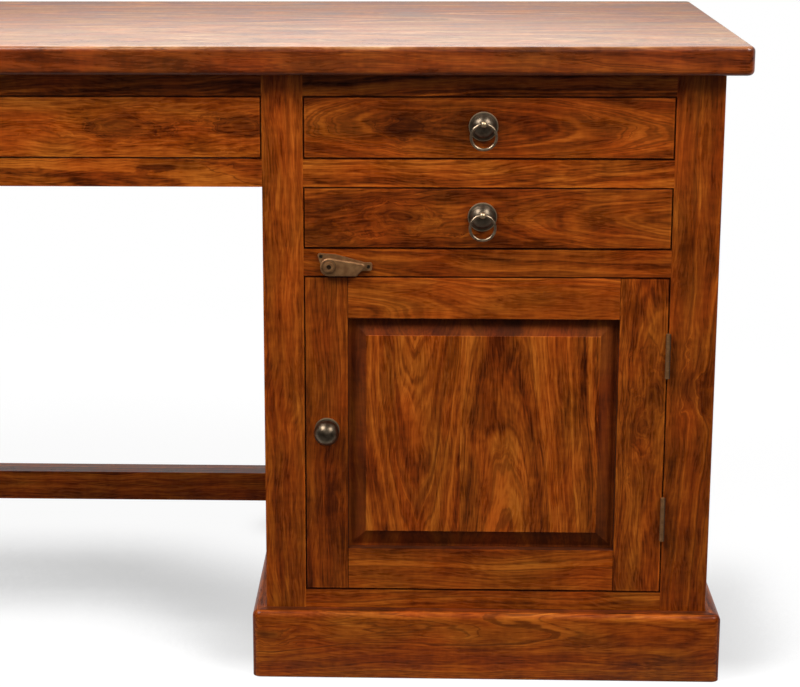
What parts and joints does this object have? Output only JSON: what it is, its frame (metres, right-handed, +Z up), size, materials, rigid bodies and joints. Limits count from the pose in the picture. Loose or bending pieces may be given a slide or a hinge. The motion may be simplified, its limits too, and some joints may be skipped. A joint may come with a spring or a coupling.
{
  "type": "campaign desk",
  "caption": "Single-pedestal hardwood writing desk with flush drawers on ring pulls, a panelled cupboard door with a turning latch, and a kneehole with a low stretcher.",
  "frame": {"origin": "on the floor under the middle of the top", "axes": "+Z up, front towards -Y, pedestal at +X"},
  "size_m": [1.4, 0.6285, 0.77],
  "materials": {
    "rosewood": "satin lacquer",
    "inner_wood": "planed, unlacquered",
    "antique_brass": "aged, matt",
    "dark_bronze": "dark patina"
  },
  "bodies": {
    "carcass": {"desk_top": "rosewood", "pedestal_inner_post": "rosewood", "pedestal_outer_post": "rosewood", "pedestal_rear_posts": "rosewood", "leg_front": "rosewood", "leg_rear": "rosewood", "pedestal_left_panel": "rosewood", "pedestal_right_panel": "rosewood", "pedestal_back_panel": "rosewood", "pedestal_bottom_rail": "rosewood", "pedestal_latch_rail": "rosewood", "pedestal_drawer_rail": "rosewood", "pedestal_top_rail": "rosewood", "kneehole_lower_rail": "rosewood", "kneehole_top_rail": "rosewood", "kneehole_back_rail": "rosewood", "leg_upper_rail": "rosewood", "leg_lower_rail": "rosewood", "stretcher": "rosewood", "plinth_front": "rosewood", "plinth_back": "rosewood", "plinth_sides": "rosewood", "cupboard_floor": "inner_wood", "cupboard_ceiling": "inner_wood", "cupboard_shelf": "inner_wood", "pedestal_runners": "inner_wood", "kneehole_runners": "inner_wood", "stop_blocks": "inner_wood", "top_fixing_blocks": "inner_wood", "hinge_frame_leaves": "antique_brass", "hinge_pins": "antique_brass", "latch_plate": "antique_brass", "latch_pivot": "antique_brass"},
    "door": {"door_latch_stile": "rosewood", "door_hinge_stile": "rosewood", "door_bottom_rail": "rosewood", "door_top_rail": "rosewood", "door_panel": "rosewood", "door_knob": "dark_bronze", "hinge_door_leaves": "antique_brass"},
    "latch_lever": {"latch_lever": "antique_brass"},
    "upper_drawer": {"upper_drawer_front": "rosewood", "upper_drawer_sides": "inner_wood", "upper_drawer_back": "inner_wood", "upper_drawer_bottom": "inner_wood", "upper_pull_boss": "dark_bronze"},
    "upper_pull_ring": {"upper_pull_ring": "dark_bronze"},
    "lower_drawer": {"lower_drawer_front": "rosewood", "lower_drawer_sides": "inner_wood", "lower_drawer_back": "inner_wood", "lower_drawer_bottom": "inner_wood", "lower_pull_boss": "dark_bronze"},
    "lower_pull_ring": {"lower_pull_ring": "dark_bronze"},
    "centre_drawer": {"centre_drawer_front": "rosewood", "centre_drawer_sides": "inner_wood", "centre_drawer_back": "inner_wood", "centre_drawer_bottom": "inner_wood", "centre_pull_boss": "dark_bronze"},
    "centre_pull_ring": {"centre_pull_ring": "dark_bronze"}
  },
  "joints": [
    {"name": "door_swing", "type": "hinge", "parent": "carcass", "child": "door", "pos_m": [0.6144, -0.2916, 0.3035], "axis": [0, 0, 1], "range_deg": [0, 160]},
    {"name": "latch_turn", "type": "hinge", "parent": "carcass", "child": "latch_lever", "pos_m": [0.215, -0.293, 0.51105], "axis": [0, 1, 0], "range_deg": [0, 90]},
    {"name": "upper_drawer_slide", "type": "slide", "parent": "carcass", "child": "upper_drawer", "axis": [0, -1, 0], "range_m": [0, 0.35]},
    {"name": "upper_ring_swing", "type": "hinge", "parent": "upper_drawer", "child": "upper_pull_ring", "pos_m": [0.394, -0.3055, 0.6805], "axis": [-1, 0, 0], "range_deg": [0, 110]},
    {"name": "lower_drawer_slide", "type": "slide", "parent": "carcass", "child": "lower_drawer", "axis": [0, -1, 0], "range_m": [0, 0.35]},
    {"name": "lower_ring_swing", "type": "hinge", "parent": "lower_drawer", "child": "lower_pull_ring", "pos_m": [0.394, -0.3055, 0.5745], "axis": [-1, 0, 0], "range_deg": [0, 110]},
    {"name": "centre_drawer_slide", "type": "slide", "parent": "carcass", "child": "centre_drawer", "axis": [0, -1, 0], "range_m": [0, 0.35]},
    {"name": "centre_ring_swing", "type": "hinge", "parent": "centre_drawer", "child": "centre_pull_ring", "pos_m": [-0.239, -0.3055, 0.6805], "axis": [-1, 0, 0], "range_deg": [0, 110]}
  ]
}
